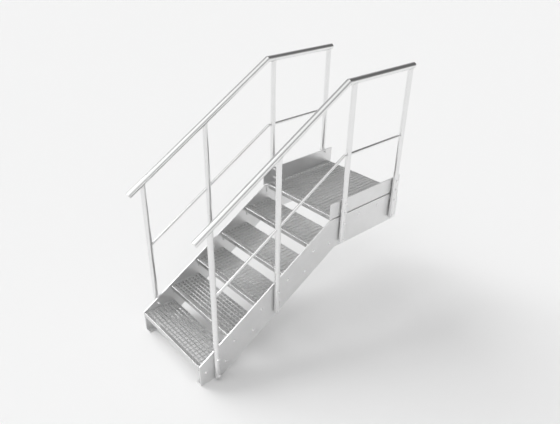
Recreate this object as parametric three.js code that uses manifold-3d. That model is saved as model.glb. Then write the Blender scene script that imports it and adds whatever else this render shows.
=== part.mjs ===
// Low access stairs: five grating treads and a grating landing between two plate stringers,
// with a tubular railing on each side. Millimetres, +Z up. The origin is on the floor under the
// middle of the stairs, +X runs from the first tread to the wall end, +Y is the left side.
import * as THREE from 'three';
import { mergeVertices } from 'three/addons/utils/BufferGeometryUtils.js';
import Module from 'manifold-3d';

const wasm = await Module();
wasm.setup();

// Flight and landing
const clearWidth = 800;
const stepCount = 5;
const firstRise = 182;
const rise = 156;
const going = 268;
const landingLead = 17;
const landingLength = 787;

// Stringers
const stringerThickness = 10;
const stringerTopLead = 8;
const stringerBelowNosing = 306;
const stringerLandingDrop = 19;
const stringerLandingDepth = 272;
const stringerTail = 38;

// Treads and landing panel
const treadDepth = 286;
const gratingDepth = 30;
const bearingBarPitch = 68.6;
const crossBarPitch = 76.2;
const gratingBar = 4;
const nosingWidth = 30;
const nosingThickness = 3;
const nosingHeight = 38;
const endPlateThickness = 6;
const endPlateHeight = 84;
const endPlateFrontSetback = 17;
const endPlateBoltFront = 51;
const endPlateBoltFromRear = 55;
const endPlateBoltAboveEdge = 10;
const sideAngleLeg = 26;
const sideAngleThickness = 6;
const landingBoltFront = 317;
const landingBoltRear = 545;

// Kick plates beside the landing
const kickThickness = 8;
const kickHeight = 135;
const kickGap = 12;
const kickLead = 33.5;

// Feet and wall plates
const footWidth = 51;
const footLength = 80;
const footThickness = 8;
const footSlotFromFront = 27;
const footSlotLength = 32;
const footSlotWidth = 12;
const wallPlateWidth = 70;
const wallPlateHeight = 200;
const wallPlateThickness = 10;
const wallPlateLift = 14;
const wallSlotLength = 30;
const wallSlotWidth = 14;
const wallSlotEdge = 45;
const wallSlotInset = 32;

// Railing
const postDiameter = 42.4;
const postWall = 2.6;
const postSpacer = 1.8;
const firstPostX = 138;
const secondPostX = 720;
const thirdPostBehindTread = 59;
const fourthPostFromEnd = 92;
const firstPostFootLift = 27;
const postFootLift = 45;
const handrailDiameter = 48.3;
const handrailWall = 2.6;
const handrailAboveLanding = 1078;
const handrailFrontX = 15.8;
const handrailFrontAboveNosingLine = 1062;
const handrailBendFromLanding = 29;
const handrailRearOverhang = 32;
const midRailDiameter = 21.3;
const midRailWall = 2.6;
const midRailAboveNosingLine = 506;
const midRailAboveLanding = 523;
const midRailEndInPost = 12;

// Fasteners
const boltDiameter = 12;
const boltHoleDiameter = 13;
const boltHeadAcross = 21;
const boltHeadHeight = 7.5;
const nutHeight = 10;
const washerDiameter = 24;
const postBoltAboveFoot = 20;
const kickBoltBelowTop = 19;
const lowKickBoltShare = 0.26;
const upperBoltShare = 0.75;

// Clearance between pieces that meet on a curve or a slope, and the overrun of every cutter
const fit = 0.3;
const overrun = 5;
const mitreBlockShare = 4;

// Counts: bolts at each end of a panel, and sides of the round pieces
const panelBoltsPerSide = 2;
const tubeSides = 20;
const railSides = 12;
const boltSides = 8;
const hexSides = 6;

// Sizes that follow from the ones above
const slope = rise / going;
const landingTop = firstRise + stepCount * rise;
const landingX = stepCount * going - landingLead;
const landingRearX = landingX + landingLength;
const stringerRearX = landingRearX + stringerTail;
const stringerTop = landingTop - stringerLandingDrop;
const stringerLandingBottom = stringerTop - stringerLandingDepth;
const overallLength = stringerRearX + wallPlateThickness;
const innerY = clearWidth / 2;
const outerY = innerY + stringerThickness;
const treadHalfWidth = innerY - endPlateThickness;
const landingMeshHalfWidth = innerY - sideAngleLeg;
const postRadius = postDiameter / 2;
const postY = outerY + postSpacer + postRadius;
const handrailZ = landingTop + handrailAboveLanding;
const midRailZ = landingTop + midRailAboveLanding;
const kickBottom = stringerTop + kickGap;
const kickTop = kickBottom + kickHeight;
const nosingLineZ = (x) => firstRise + slope * x;
const xOnNosingLine = (z) => (z - firstRise) / slope;
const endPlateBoltRear = treadDepth - endPlateBoltFromRear;
const endPlateBoltDrop = endPlateHeight - endPlateBoltAboveEdge;
const thirdPostX = (stepCount - 1) * going + treadDepth + thirdPostBehindTread;
const fourthPostX = stringerRearX - fourthPostFromEnd;

const posts = [
  { number: 1, x: firstPostX, foot: firstPostFootLift },
  { number: 2, x: secondPostX, foot: nosingLineZ(secondPostX) - stringerBelowNosing + postFootLift },
  { number: 3, x: thirdPostX, foot: stringerLandingBottom + postFootLift },
  { number: 4, x: fourthPostX, foot: stringerLandingBottom + postFootLift },
];
const landingPosts = posts.filter((post) => post.x > landingX);
const sides = [
  { name: 'left', sign: 1 },
  { name: 'right', sign: -1 },
];

// Rails, with their centre lines in the upright plane of each row of posts
const midRailFrontX = firstPostX + postRadius - midRailEndInPost;
const handrail = {
  front: { x: handrailFrontX, z: nosingLineZ(handrailFrontX) + handrailFrontAboveNosingLine },
  bend: { x: landingX + handrailBendFromLanding, z: handrailZ },
  rear: { x: fourthPostX + handrailRearOverhang, z: handrailZ },
  radius: handrailDiameter / 2,
  wall: handrailWall,
  sideCount: tubeSides,
};
const midRail = {
  front: { x: midRailFrontX, z: nosingLineZ(midRailFrontX) + midRailAboveNosingLine },
  bend: { x: xOnNosingLine(midRailZ - midRailAboveNosingLine), z: midRailZ },
  rear: { x: fourthPostX - postRadius + midRailEndInPost, z: midRailZ },
  radius: midRailDiameter / 2,
  wall: midRailWall,
  sideCount: railSides,
};

// Finishes
function finish(color, roughness, metalness) {
  return new THREE.MeshStandardMaterial({ color, roughness, metalness });
}
const platePaint = finish(0xd2d3d4, 0.5, 0.2);
const railPaint = finish(0xe2e3e4, 0.45, 0.2);
const gratingZinc = finish(0xa4a6a8, 0.55, 0.6);
const nosingZinc = finish(0xdcdddd, 0.5, 0.4);
const boltZinc = finish(0xc4c6c8, 0.4, 0.8);

const stairs = new THREE.Group();
stairs.name = 'low_stairs';
stairs.position.x = -overallLength / 2;

function addPiece(name, geometry, material) {
  const piece = new THREE.Mesh(geometry, material);
  piece.name = name;
  stairs.add(piece);
}

// A closed geometry with shared corners, holding positions only
function weld(geometry) {
  const bare = geometry.clone();
  bare.deleteAttribute('normal');
  bare.deleteAttribute('uv');
  return mergeVertices(bare);
}

function toSolid(geometry) {
  const closed = weld(geometry);
  const vertProperties = new Float32Array(closed.getAttribute('position').array);
  const triVerts = new Uint32Array(closed.getIndex().array);
  return new wasm.Manifold(new wasm.Mesh({ numProp: 3, vertProperties, triVerts }));
}

function toGeometry(solid) {
  const mesh = solid.getMesh();
  const geometry = new THREE.BufferGeometry();
  geometry.setAttribute('position', new THREE.BufferAttribute(mesh.vertProperties, 3));
  geometry.setIndex(new THREE.BufferAttribute(mesh.triVerts, 1));
  return geometry;
}

// An upright plate: an outline of x and z points, extruded between two y places
function uprightPlate(outline, holes, yLow, yHigh) {
  const shape = new THREE.Shape(outline.map(([x, z]) => new THREE.Vector2(x, z)));
  shape.holes.push(...holes);
  const depth = yHigh - yLow;
  const plate = new THREE.ExtrudeGeometry(shape, { depth, bevelEnabled: false });
  plate.rotateX(Math.PI / 2);
  plate.translate(0, yHigh, 0);
  return weld(plate);
}

// A flat plate: an outline of x and y points, extruded between two heights
function flatPlate(outline, holes, zLow, zHigh) {
  const shape = new THREE.Shape(outline.map(([x, y]) => new THREE.Vector2(x, y)));
  shape.holes.push(...holes);
  const depth = zHigh - zLow;
  const plate = new THREE.ExtrudeGeometry(shape, { depth, bevelEnabled: false });
  plate.translate(0, 0, zLow);
  return weld(plate);
}

const rectangle = (u0, v0, u1, v1) => [[u0, v0], [u1, v0], [u1, v1], [u0, v1]];

function box(xLow, xHigh, yLow, yHigh, zLow, zHigh) {
  const block = new THREE.BoxGeometry(xHigh - xLow, yHigh - yLow, zHigh - zLow);
  block.translate((xLow + xHigh) / 2, (yLow + yHigh) / 2, (zLow + zHigh) / 2);
  return weld(block);
}

function roundHole(u, v, diameter) {
  const hole = new THREE.Path();
  for (let i = 0; i < boltSides; i++) {
    const turn = (-i / boltSides) * 2 * Math.PI;
    const point = [u + (diameter / 2) * Math.cos(turn), v + (diameter / 2) * Math.sin(turn)];
    if (i === 0) hole.moveTo(...point);
    else hole.lineTo(...point);
  }
  return hole;
}

// A slot with round ends whose length runs along the second axis of its outline
function slotHole(u, v, length, width) {
  const radius = width / 2;
  const reach = length / 2 - radius;
  const hole = new THREE.Path();
  const points = [];
  for (let i = 0; i <= hexSides; i++) {
    const turn = (i / hexSides) * Math.PI;
    points.push([u + radius * Math.cos(turn), v + reach + radius * Math.sin(turn)]);
  }
  for (let i = 0; i <= hexSides; i++) {
    const turn = (i / hexSides) * Math.PI + Math.PI;
    points.push([u + radius * Math.cos(turn), v - reach + radius * Math.sin(turn)]);
  }
  points.reverse();
  hole.setFromPoints(points.map(([a, b]) => new THREE.Vector2(a, b)));
  return hole;
}

// A round bar between two points of one upright plane y = constant
function barBetween(from, to, y, radius, sideCount) {
  const run = to.x - from.x;
  const climb = to.z - from.z;
  const bar = new THREE.CylinderGeometry(radius, radius, Math.hypot(run, climb), sideCount);
  bar.rotateZ(-Math.PI / 2);
  bar.rotateY(-Math.atan2(climb, run));
  bar.translate((from.x + to.x) / 2, y, (from.z + to.z) / 2);
  return toSolid(bar);
}

// A point further along the line between two points
function beyond(from, to, extra) {
  const length = Math.hypot(to.x - from.x, to.z - from.z);
  const share = (length + extra) / length;
  return { x: from.x + (to.x - from.x) * share, z: from.z + (to.z - from.z) * share };
}

function tubeBetween(from, to, y, radius, wall, sideCount) {
  const boreStart = beyond(to, from, overrun);
  const boreEnd = beyond(from, to, overrun);
  const bore = barBetween(boreStart, boreEnd, y, radius - wall, sideCount);
  return barBetween(from, to, y, radius, sideCount).subtract(bore);
}

// A block that covers everything past a mitre plane through a bend; direction is the plane's normal
function mitreBlock(bend, tilt, y, radius, side) {
  const reach = radius * mitreBlockShare;
  const block = new THREE.BoxGeometry(reach, reach, reach);
  block.translate((side * (reach - fit)) / 2, 0, 0);
  block.rotateY(-tilt);
  block.translate(bend.x, y, bend.z);
  return toSolid(block);
}

// A rail in two tubes that meet in a mitre: one along the flight, one level along the landing
function railPair(rail, y) {
  const { front, bend, rear, radius, wall, sideCount } = rail;
  const pitch = Math.atan2(bend.z - front.z, bend.x - front.x);
  const lowerEnd = beyond(front, bend, radius);
  const upperStart = beyond(rear, bend, radius);
  const lower = tubeBetween(front, lowerEnd, y, radius, wall, sideCount);
  const upper = tubeBetween(upperStart, rear, y, radius, wall, sideCount);
  return {
    lower: lower.subtract(mitreBlock(bend, pitch / 2, y, radius, 1)),
    upper: upper.subtract(mitreBlock(bend, pitch / 2, y, radius, -1)),
  };
}

// A rod across the stairs, such as the shank of a bolt
function crossRod(x, yLow, yHigh, z, radius, sideCount) {
  const rod = new THREE.CylinderGeometry(radius, radius, yHigh - yLow, sideCount);
  rod.translate(x, (yLow + yHigh) / 2, z);
  return toSolid(rod);
}

const onSide = (sign, near, far) => (sign > 0 ? [near, far] : [-far, -near]);

// Heights of the bolts that hold one post: two in the stringer, and two in the kick plate
// where the post stands beside the landing
function postBoltHeights(post) {
  const top = Math.min(nosingLineZ(post.x) + stringerTopLead, stringerTop);
  const lowest = post.foot + postBoltAboveFoot;
  const kick = [kickBottom + kickHeight * lowKickBoltShare, kickTop - kickBoltBelowTop];
  return {
    stringer: [lowest, lowest + (top - lowest) * upperBoltShare],
    kick: landingPosts.includes(post) ? kick : [],
  };
}

// Places of the tread and landing panel bolts, as x and z on the stringer
function panelBoltPlaces() {
  const places = [];
  for (let step = 0; step < stepCount; step++) {
    const z = nosingLineZ(step * going) - endPlateBoltDrop;
    places.push([step * going + endPlateBoltFront, z], [step * going + endPlateBoltRear, z]);
  }
  const landingZ = landingTop - endPlateBoltDrop;
  places.push([landingX + landingBoltFront, landingZ], [landingX + landingBoltRear, landingZ]);
  return places;
}

// Stringers: plates whose top edge follows the nosings and whose foot stands on the floor
function addStringer(side) {
  const outline = [
    [0, 0],
    [xOnNosingLine(stringerBelowNosing), 0],
    [xOnNosingLine(stringerLandingBottom + stringerBelowNosing), stringerLandingBottom],
    [stringerRearX, stringerLandingBottom],
    [stringerRearX, stringerTop],
    [xOnNosingLine(stringerTop - stringerTopLead), stringerTop],
    [0, firstRise + stringerTopLead],
  ];
  const postPlaces = posts.flatMap((post) => postBoltHeights(post).stringer.map((z) => [post.x, z]));
  const places = [...panelBoltPlaces(), ...postPlaces];
  const holes = places.map(([x, z]) => roundHole(x, z, boltHoleDiameter));
  const plate = uprightPlate(outline, holes, ...onSide(side.sign, innerY, outerY));
  addPiece(`stringer_${side.name}`, plate, platePaint);
}

// Foot: a flat plate on the floor, welded inside the stringer, with a slot for a floor anchor
function addFoot(side) {
  const [yLow, yHigh] = onSide(side.sign, innerY - footWidth, innerY);
  const slot = slotHole(footSlotFromFront, (yLow + yHigh) / 2, footSlotLength, footSlotWidth);
  const plate = flatPlate(rectangle(0, yLow, footLength, yHigh), [slot], 0, footThickness);
  addPiece(`foot_plate_${side.name}`, plate, platePaint);
}

// Wall plate: an upright plate across the stringer's rear end, with two slots for wall anchors
function addWallPlate(side) {
  const [yLow, yHigh] = onSide(side.sign, outerY - wallPlateWidth, outerY);
  const zLow = stringerLandingBottom + wallPlateLift;
  const zHigh = zLow + wallPlateHeight;
  const slotY = side.sign * (outerY - wallPlateWidth + wallSlotInset);
  const heights = [zLow + wallSlotEdge, zHigh - wallSlotEdge];
  const slots = heights.map((z) => slotHole(z, slotY, wallSlotLength, wallSlotWidth));
  const plate = flatPlate(rectangle(zLow, yLow, zHigh, yHigh), slots, 0, wallPlateThickness);
  plate.rotateY(-Math.PI / 2);
  plate.translate(stringerRearX + wallPlateThickness, 0, 0);
  addPiece(`wall_plate_${side.name}`, plate, platePaint);
}

// Nosing: an angle with its flange level with the grating and its leg down the front
function nosingAngle(x, halfWidth, top) {
  const [legRear, flangeRear] = [x + nosingThickness, x + nosingWidth];
  const leg = toSolid(box(x, legRear, -halfWidth, halfWidth, top - nosingHeight, top));
  const flange = toSolid(box(x, flangeRear, -halfWidth, halfWidth, top - nosingThickness, top));
  return toGeometry(leg.add(flange));
}

// A grating: a panel cut through by a grid of openings, which leaves bars both ways. Its front is
// lowered under the flange of the nosing.
function gratingPanel(front, xHigh, halfWidth, top) {
  const xLow = front + nosingThickness;
  const alongCount = Math.max(1, Math.round((xHigh - xLow) / bearingBarPitch));
  const acrossCount = Math.max(1, Math.round((2 * halfWidth) / crossBarPitch));
  const alongPitch = (xHigh - xLow - gratingBar) / alongCount;
  const acrossPitch = (2 * halfWidth - gratingBar) / acrossCount;
  const alongGap = alongPitch - gratingBar;
  const acrossGap = acrossPitch - gratingBar;
  const cutBottom = top - gratingDepth - overrun;
  const cutTop = top + overrun;
  let panel = toSolid(box(xLow, xHigh, -halfWidth, halfWidth, top - gratingDepth, top));
  for (let i = 0; i < alongCount; i++) {
    const x = xLow + gratingBar + i * alongPitch;
    for (let j = 0; j < acrossCount; j++) {
      const y = gratingBar - halfWidth + j * acrossPitch;
      const opening = box(x, x + alongGap, y, y + acrossGap, cutBottom, cutTop);
      panel = panel.subtract(toSolid(opening));
    }
  }
  const [seatLow, seatHigh] = [xLow - overrun, front + nosingWidth];
  const [sideLow, sideHigh] = [-halfWidth - overrun, halfWidth + overrun];
  const seat = box(seatLow, seatHigh, sideLow, sideHigh, top - nosingThickness, cutTop);
  return toGeometry(panel.subtract(toSolid(seat)));
}

// Tread: grating behind a nosing angle, between two end plates bolted to the stringers
function addTread(step) {
  const name = `tread_${step + 1}`;
  const x = step * going;
  const top = firstRise + step * rise;
  const boltZ = top - endPlateBoltDrop;
  const mesh = gratingPanel(x, x + treadDepth, treadHalfWidth, top);
  addPiece(`${name}_nosing`, nosingAngle(x, treadHalfWidth, top), nosingZinc);
  addPiece(`${name}_grating`, mesh, gratingZinc);
  for (const side of sides) {
    const outline = rectangle(x + endPlateFrontSetback, top - endPlateHeight, x + treadDepth, top);
    const places = [x + endPlateBoltFront, x + endPlateBoltRear];
    const holes = places.map((place) => roundHole(place, boltZ, boltHoleDiameter));
    const plate = uprightPlate(outline, holes, ...onSide(side.sign, treadHalfWidth, innerY));
    addPiece(`${name}_end_plate_${side.name}`, plate, gratingZinc);
  }
}

// Landing panel: grating behind a nosing angle, between two angles bolted to the stringers
function addLanding() {
  const halfWidth = landingMeshHalfWidth;
  const mesh = gratingPanel(landingX, landingRearX, halfWidth, landingTop);
  addPiece('landing_nosing', nosingAngle(landingX, halfWidth, landingTop), nosingZinc);
  addPiece('landing_grating', mesh, gratingZinc);
  for (const side of sides) addLandingAngle(side);
}

// One side of the landing panel: an angle with its upright leg on the stringer
function addLandingAngle(side) {
  const legBottom = landingTop - endPlateHeight;
  const flangeBottom = landingTop - sideAngleThickness;
  const plateY = onSide(side.sign, innerY - sideAngleThickness, innerY);
  const flangeY = onSide(side.sign, landingMeshHalfWidth, innerY);
  const leg = toSolid(box(landingX, landingRearX, ...plateY, legBottom, landingTop));
  const flange = toSolid(box(landingX, landingRearX, ...flangeY, flangeBottom, landingTop));
  const panelPlaces = panelBoltPlaces().slice(-panelBoltsPerSide);
  const postPlaces = landingPosts.map((post) => [post.x, postBoltHeights(post).stringer[1]]);
  let angle = leg.add(flange);
  for (const [x, z] of [...panelPlaces, ...postPlaces]) {
    const [yLow, yHigh] = onSide(side.sign, innerY - sideAngleThickness - overrun, innerY + overrun);
    angle = angle.subtract(crossRod(x, yLow, yHigh, z, boltHoleDiameter / 2, boltSides));
  }
  addPiece(`landing_angle_${side.name}`, toGeometry(angle), platePaint);
}

// Kick plate: an upright plate beside the landing, carried by the two rear posts
function addKickPlate(side) {
  const outline = rectangle(landingX - kickLead, kickBottom, stringerRearX, kickTop);
  const places = landingPosts.flatMap((post) => postBoltHeights(post).kick.map((z) => [post.x, z]));
  const holes = places.map(([x, z]) => roundHole(x, z, boltHoleDiameter));
  const plate = uprightPlate(outline, holes, ...onSide(side.sign, outerY - kickThickness, outerY));
  addPiece(`kick_plate_${side.name}`, plate, platePaint);
}

// Rails: a handrail over the posts and a mid rail through them, each mitred where the flight ends
function addRails(side) {
  const y = side.sign * postY;
  const handrailTubes = railPair(handrail, y);
  const midRailTubes = railPair(midRail, y);
  addPiece(`handrail_flight_${side.name}`, toGeometry(handrailTubes.lower), railPaint);
  addPiece(`handrail_landing_${side.name}`, toGeometry(handrailTubes.upper), railPaint);
  addPiece(`mid_rail_flight_${side.name}`, toGeometry(midRailTubes.lower), railPaint);
  addPiece(`mid_rail_landing_${side.name}`, toGeometry(midRailTubes.upper), railPaint);
}

// The space that a rail with a bend takes up, grown by the clearance to the posts
function railSpace(rail, y) {
  const { front, bend, rear, radius, sideCount } = rail;
  const lower = barBetween(front, beyond(front, bend, radius), y, radius + fit, sideCount);
  return lower.add(barBetween(bend, rear, y, radius + fit, sideCount));
}

// Post: a tube with a coped top under the handrail, and holes for the mid rail and its bolts
function addPost(side, post) {
  const y = side.sign * postY;
  const { front, bend } = handrail;
  const railSlope = (bend.z - front.z) / (bend.x - front.x);
  const top = Math.min(bend.z, front.z + railSlope * (post.x - front.x));
  const height = top - post.foot;
  const boreRadius = postRadius - postWall;
  const round = new THREE.CylinderGeometry(postRadius, postRadius, height, tubeSides);
  const bore = new THREE.CylinderGeometry(boreRadius, boreRadius, height + overrun, tubeSides);
  for (const cylinder of [round, bore]) {
    cylinder.rotateX(Math.PI / 2);
    cylinder.translate(post.x, y, post.foot + height / 2);
  }
  let tube = toSolid(round).subtract(toSolid(bore));
  tube = tube.subtract(railSpace(handrail, y)).subtract(railSpace(midRail, y));
  const reach = postRadius + overrun;
  const { stringer, kick } = postBoltHeights(post);
  for (const z of [...stringer, ...kick]) {
    const hole = crossRod(post.x, y - reach, y + reach, z, boltHoleDiameter / 2, boltSides);
    tube = tube.subtract(hole);
  }
  addPiece(`post_${post.number}_${side.name}`, toGeometry(tube), railPaint);
}

// Post bolt: shank, head outside the post, spacing washer and nut behind the plate
function addPostBolt(name, side, x, z, plateInnerY) {
  const headY = postY + postRadius + fit;
  const parts = [
    [plateInnerY - nutHeight, headY + boltHeadHeight, boltDiameter, boltSides],
    [plateInnerY - nutHeight, plateInnerY, boltHeadAcross, hexSides],
    [outerY, outerY + postSpacer - fit, washerDiameter, railSides],
    [headY, headY + boltHeadHeight, boltHeadAcross, hexSides],
  ];
  const solids = parts.map(([near, far, diameter, sideCount]) => {
    return crossRod(x, ...onSide(side.sign, near, far), z, diameter / 2, sideCount);
  });
  const bolt = solids.reduce((whole, part) => whole.add(part));
  addPiece(name, toGeometry(bolt), boltZinc);
}

for (const side of sides) {
  addStringer(side);
  addFoot(side);
  addWallPlate(side);
  addKickPlate(side);
  addRails(side);
  for (const post of posts) {
    const { stringer, kick } = postBoltHeights(post);
    const postBolt = `post_${post.number}_bolt_${side.name}`;
    const kickBolt = `kick_bolt_${post.number}_${side.name}`;
    addPost(side, post);
    addPostBolt(postBolt, side, post.x, stringer[0], innerY);
    for (const z of kick.slice(-1)) addPostBolt(kickBolt, side, post.x, z, outerY - kickThickness);
  }
}
for (let step = 0; step < stepCount; step++) addTread(step);
addLanding();

export default stairs;
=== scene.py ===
"""Looks of the low access stairs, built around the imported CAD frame.

Metres, +Z up. +X runs from the first tread to the wall end and +Y is the left side. The origin
is on the floor under the middle of the stairs.
"""

import logging
import math
from dataclasses import dataclass, field
from enum import Enum
from typing import Callable, Container, Sequence

import bmesh
import bpy
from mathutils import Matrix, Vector

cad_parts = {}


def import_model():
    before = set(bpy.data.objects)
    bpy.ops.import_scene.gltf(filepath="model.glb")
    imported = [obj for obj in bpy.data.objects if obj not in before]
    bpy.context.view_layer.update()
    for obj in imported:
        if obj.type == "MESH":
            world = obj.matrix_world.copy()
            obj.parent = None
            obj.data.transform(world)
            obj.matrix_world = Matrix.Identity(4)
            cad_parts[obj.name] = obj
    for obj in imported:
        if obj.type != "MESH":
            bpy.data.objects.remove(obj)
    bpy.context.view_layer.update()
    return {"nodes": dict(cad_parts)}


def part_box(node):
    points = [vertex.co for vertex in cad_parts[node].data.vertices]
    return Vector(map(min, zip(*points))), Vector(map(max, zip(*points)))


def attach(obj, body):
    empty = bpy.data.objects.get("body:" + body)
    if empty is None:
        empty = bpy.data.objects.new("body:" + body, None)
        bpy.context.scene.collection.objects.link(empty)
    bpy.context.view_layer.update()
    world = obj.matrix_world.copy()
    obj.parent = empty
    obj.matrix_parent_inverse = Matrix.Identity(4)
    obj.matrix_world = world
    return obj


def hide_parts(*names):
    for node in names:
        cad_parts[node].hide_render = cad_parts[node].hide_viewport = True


LOG = logging.getLogger("access_stairs")
BODY = "root"
TREADS = range(1, 6)
POSTS = range(1, 5)
FLIGHT_POSTS = 2
SMOOTH_LIMIT = math.radians(26)
BEVEL_LIMIT = math.radians(40)
BEVEL_SEGMENTS = 2
FIT_ROUNDS = 10
WHITE = (1.0, 1.0, 1.0, 1.0)
Ring = list[Vector]
Verts = list[bmesh.types.BMVert]
Span = tuple[float, float]
Tree = bpy.types.NodeTree
Socket = bpy.types.NodeSocket


class Side(Enum):
    """A side of the stairs, with the sign of its Y."""

    LEFT = 1
    RIGHT = -1

    @property
    def word(self) -> str:
        """The side's name as the CAD nodes spell it."""
        return self.name.lower()

    @property
    def outward(self) -> Vector:
        """The direction away from the middle of the stairs."""
        return Vector((0.0, float(self.value), 0.0))


class Slot(Enum):
    """The record's material slots."""

    PLATE = "plate"
    RAILING = "railing"
    GRATING = "grating"
    NOSING = "nosing"
    FASTENER = "fastener"


class Grain(Enum):
    """The way a surface was worked, as the stretch of its grain along X, Y and Z."""

    ROLLED = (1.0, 1.0, 1.0)
    DRAWN_LEVEL = (0.06, 1.0, 1.0)
    DRAWN_UPRIGHT = (1.0, 1.0, 0.06)
    DRAWN_ACROSS = (1.0, 0.06, 1.0)


class HeadStyle(Enum):
    """The shape of a bolt's head."""

    HEX = "hex"
    ROUND = "round"


def map_range(tree: Tree, value: Socket, span: Span, result: Span, way: str = "LINEAR") -> Socket:
    """Adds a node that carries a value over from one range to another.

    Args:
        tree: The node tree.
        value: The value.
        span: The range that it comes from.
        result: The range that it goes to.
        way: How it goes from end to end, as the node calls it.

    Returns:
        The value in its new range.
    """
    node = tree.nodes.new("ShaderNodeMapRange")
    node.interpolation_type = way
    node.inputs["From Min"].default_value, node.inputs["From Max"].default_value = span
    node.inputs["To Min"].default_value, node.inputs["To Max"].default_value = result
    tree.links.new(value, node.inputs["Value"])
    return node.outputs["Result"]


def product(tree: Tree, first: Socket | float, second: Socket) -> Socket:
    """Adds a node that multiplies two values.

    Args:
        tree: The node tree.
        first: A value or a plain number.
        second: Another value.

    Returns:
        Their product.
    """
    node = tree.nodes.new("ShaderNodeMath")
    node.operation = "MULTIPLY"
    if isinstance(first, float):
        node.inputs[0].default_value = first
    else:
        tree.links.new(first, node.inputs[0])
    tree.links.new(second, node.inputs[1])
    return node.outputs["Value"]


def likeness(tree: Tree, first: Socket, second: Socket | Vector) -> Socket:
    """Adds a node that compares two directions of length one.

    Args:
        tree: The node tree.
        first: A direction.
        second: Another direction, from a node or as a plain vector.

    Returns:
        The cosine of the angle between them.
    """
    node = tree.nodes.new("ShaderNodeVectorMath")
    node.operation = "DOT_PRODUCT"
    tree.links.new(first, node.inputs[0])
    if isinstance(second, Vector):
        node.inputs[1].default_value = second
    else:
        tree.links.new(second, node.inputs[1])
    return node.outputs["Value"]


@dataclass(frozen=True)
class Metal:
    """A bare metal surface with mottled colour, fine grain and a painted highlight along its edges.

    Attributes:
        name: The material's name.
        tone: Lightness of the metal, the same in red, green and blue.
        roughness: Mean roughness.
        mottle: How far the tone swings over some tens of millimetres, as a share.
        mottle_scale: Patches of the mottling in one metre.
        grain: Direction of the working marks.
        grain_scale: Working marks in one metre.
        relief: Height of the working marks.
        edge_lift: How much paler the painted highlight makes an edge than the face, as a share.
        edge_reach: Width of the painted edge highlight.
        roughness_swing: How far the working marks change the roughness either way.
        noise_span: The part of a noise factor that is spread over a range of values.
        mottle_detail: Finer layers of the mottling.
        grain_detail: Finer layers of the working marks.
        edge_samples: Rays that look for an edge.
        edge_turn: Cosine of the turn of the normal at which the painted edge highlight is strongest.
    """

    name: str
    tone: float
    roughness: float
    mottle: float = 0.04
    mottle_scale: float = 9.0
    grain: Grain = Grain.ROLLED
    grain_scale: float = 420.0
    relief: float = 0.00004
    edge_lift: float = 0.0
    edge_reach: float = 0.004
    roughness_swing: float = 0.05
    noise_span: Span = (0.3, 0.7)
    mottle_detail: float = 3.0
    grain_detail: float = 2.0
    edge_samples: int = 4
    edge_turn: float = 0.75

    def material(self) -> bpy.types.Material:
        """Builds the node tree.

        Returns:
            The finished material.
        """
        made = bpy.data.materials.new(self.name)
        made.use_nodes = True
        tree = made.node_tree
        shader = tree.nodes["Principled BSDF"]
        shader.inputs["Metallic"].default_value = 1.0
        where = tree.nodes.new("ShaderNodeTexCoord").outputs["Object"]
        patches = self._noise(tree, where, self.mottle_scale, self.mottle_detail)
        tones = (self.tone * (1 - self.mottle), self.tone * (1 + self.mottle))
        tone = map_range(tree, patches, self.noise_span, tones)
        # Painted highlight: the colour is made paler along the edges.
        if self.edge_lift:
            tone = self._lift_edges(tree, tone)
        colour = tree.nodes.new("ShaderNodeCombineColor")
        for channel in ("Red", "Green", "Blue"):
            tree.links.new(tone, colour.inputs[channel])
        tree.links.new(colour.outputs["Color"], shader.inputs["Base Color"])
        stretch = tree.nodes.new("ShaderNodeMapping")
        stretch.inputs["Scale"].default_value = self.grain.value
        tree.links.new(where, stretch.inputs["Vector"])
        marks = self._noise(tree, stretch.outputs["Vector"], self.grain_scale, self.grain_detail)
        swing = (self.roughness - self.roughness_swing, self.roughness + self.roughness_swing)
        tree.links.new(map_range(tree, marks, self.noise_span, swing), shader.inputs["Roughness"])
        bump = tree.nodes.new("ShaderNodeBump")
        bump.inputs["Strength"].default_value = 1.0
        bump.inputs["Distance"].default_value = self.relief
        tree.links.new(marks, bump.inputs["Height"])
        tree.links.new(bump.outputs["Normal"], shader.inputs["Normal"])
        return made

    def _noise(self, tree: Tree, where: Socket, scale: float, detail: float) -> Socket:
        """Adds a noise texture.

        Args:
            tree: The material's node tree.
            where: The place on the metal.
            scale: Marks in one metre.
            detail: Finer layers of the marks.

        Returns:
            The noise factor.
        """
        noise = tree.nodes.new("ShaderNodeTexNoise")
        noise.inputs["Scale"].default_value = scale
        noise.inputs["Detail"].default_value = detail
        tree.links.new(where, noise.inputs["Vector"])
        return noise.outputs["Fac"]

    def _lift_edges(self, tree: Tree, tone: Socket) -> Socket:
        """Paints a highlight into the tone where the face turns an edge.

        Args:
            tree: The material's node tree.
            tone: The tone of the face.

        Returns:
            The tone with its painted edge highlight.
        """
        rounded = tree.nodes.new("ShaderNodeBevel")
        rounded.samples = self.edge_samples
        rounded.inputs["Radius"].default_value = self.edge_reach
        flat = tree.nodes.new("ShaderNodeNewGeometry")
        turn = likeness(tree, rounded.outputs["Normal"], flat.outputs["Normal"])
        # Painted highlight: the tone rises towards the edge.
        lift = map_range(tree, turn, (self.edge_turn, 1.0), (1.0 + self.edge_lift, 1.0))
        return product(tree, tone, lift)


@dataclass(frozen=True)
class PaleFloor:
    """The plain pale floor, which keeps the object's shadow."""

    tone: float = 0.86

    def material(self) -> bpy.types.Material:
        """Builds the floor's node tree.

        Returns:
            The finished material.
        """
        made = bpy.data.materials.new("pale_floor")
        made.use_nodes = True
        tree = made.node_tree
        tree.nodes.clear()
        matt = tree.nodes.new("ShaderNodeBsdfDiffuse")
        matt.inputs["Color"].default_value = (self.tone, self.tone, self.tone, 1.0)
        result = tree.nodes.new("ShaderNodeOutputMaterial")
        tree.links.new(matt.outputs["BSDF"], result.inputs["Surface"])
        return made


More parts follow.
